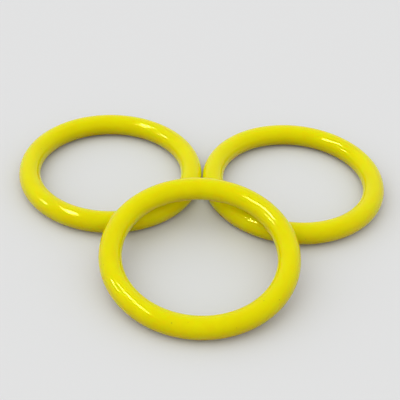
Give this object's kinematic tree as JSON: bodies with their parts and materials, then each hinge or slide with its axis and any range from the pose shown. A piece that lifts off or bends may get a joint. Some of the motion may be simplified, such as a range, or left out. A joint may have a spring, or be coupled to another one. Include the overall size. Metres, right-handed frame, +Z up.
{
  "type": "set of juggling rings",
  "caption": "Glossy yellow round-section plastic rings for juggling and hand rolling: a pair lies flat and another leans on them.",
  "frame": {"origin": "on the floor, under the middle of the whole set's box", "axes": "+Z up; +X from the left flat ring to the right one; -Y towards the ring that leans on them"},
  "size_m": [0.2002, 0.1724, 0.0256],
  "materials": {
    "yellow_gloss_plastic": "moulded gloss, opaque, saturated lemon yellow with fine handling marks"
  },
  "bodies": {
    "left": {"left_ring": "yellow_gloss_plastic"},
    "right": {"right_ring": "yellow_gloss_plastic"},
    "front": {"front_ring": "yellow_gloss_plastic"}
  },
  "joints": [
    {"name": "front_lift", "type": "slide", "parent": "left", "child": "front", "axis": [0, 0, 1], "range_m": [0, 0.1]},
    {"name": "right_draw", "type": "slide", "parent": "left", "child": "right", "axis": [0.6, 0.8, 0], "range_m": [0, 0.05]}
  ]
}
